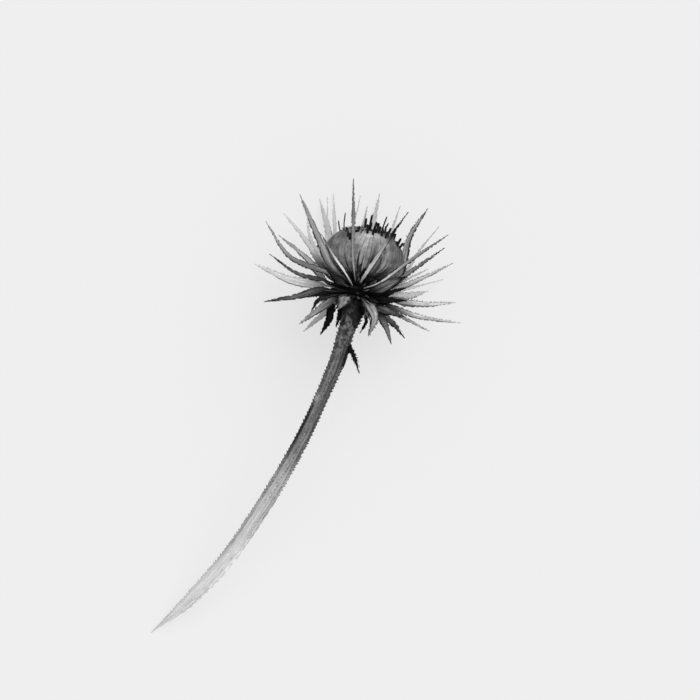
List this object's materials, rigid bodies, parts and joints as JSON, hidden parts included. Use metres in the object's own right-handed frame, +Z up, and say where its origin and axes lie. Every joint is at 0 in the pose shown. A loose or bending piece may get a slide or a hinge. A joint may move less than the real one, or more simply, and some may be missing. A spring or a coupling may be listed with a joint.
{
  "type": "dried thistle flower head",
  "caption": "Dried thistle flower head: a bulb of closed scales with a dark floret tuft, ringed by spiny bracts, on a curved, tapering cut stem that lies down.",
  "frame": {"origin": "middle of the bounding box's footprint, on the surface that the cut plant lies on", "axes": "+Z up from the surface; +Y along the plant, from the cut end of the stem towards the flower; +X to the right, seen from above"},
  "size_m": [0.1144, 0.166, 0.0547],
  "materials": {
    "stem_fibre": "dry ribbed fibre, dark near the head and paler to the torn end, with fine hairs",
    "bulb_scales": "matt dry scales and chaff, streaked along their length, darker at the foot",
    "floret_tuft": "withered near-black tubes, matt",
    "pale_bract": "bleached dry leaf, matt, with a darker rib",
    "grey_bract": "dry leaf, matt, with dark edges and a paler middle",
    "dark_bract": "withered near-black leaf, matt, with paler streaks",
    "streaked_bract": "dry leaf, pale where it lies over the bulb and dark to the tip, matt"
  },
  "bodies": {
    "root": {"stem": "stem_fibre", "stem_leaf": "dark_bract", "bulb": "bulb_scales", "florets": "floret_tuft", "crown_bract_01": "pale_bract", "crown_bract_02": "pale_bract", "crown_bract_03": "pale_bract", "crown_bract_04": "pale_bract", "crown_bract_05": "pale_bract", "crown_bract_06": "pale_bract", "crown_bract_07": "grey_bract", "inner_bract_01": "grey_bract", "inner_bract_02": "streaked_bract", "inner_bract_03": "streaked_bract", "inner_bract_04": "pale_bract", "inner_bract_05": "pale_bract", "inner_bract_06": "pale_bract", "middle_bract_01": "grey_bract", "middle_bract_02": "streaked_bract", "middle_bract_03": "streaked_bract", "middle_bract_04": "dark_bract", "middle_bract_05": "grey_bract", "middle_bract_06": "pale_bract", "middle_bract_07": "dark_bract", "middle_bract_08": "pale_bract", "spreading_bract_01": "dark_bract", "spreading_bract_02": "grey_bract", "spreading_bract_03": "pale_bract", "spreading_bract_04": "dark_bract", "spreading_bract_05": "dark_bract", "spreading_bract_06": "grey_bract", "spreading_bract_07": "pale_bract", "spreading_bract_08": "pale_bract", "spreading_bract_09": "grey_bract", "spreading_bract_10": "dark_bract", "drooping_bract_01": "dark_bract", "drooping_bract_02": "dark_bract", "drooping_bract_03": "grey_bract", "drooping_bract_04": "grey_bract", "drooping_bract_05": "pale_bract", "drooping_bract_06": "grey_bract", "drooping_bract_07": "pale_bract", "drooping_bract_08": "dark_bract", "reflexed_bract_01": "dark_bract", "reflexed_bract_02": "grey_bract", "reflexed_bract_03": "pale_bract", "reflexed_bract_04": "dark_bract", "reflexed_bract_05": "dark_bract", "reflexed_bract_06": "grey_bract", "reflexed_bract_07": "grey_bract", "reflexed_bract_08": "dark_bract", "reflexed_bract_09": "grey_bract", "reflexed_bract_10": "dark_bract", "reflexed_bract_11": "dark_bract", "reflexed_bract_12": "grey_bract"}
  },
  "joints": []
}
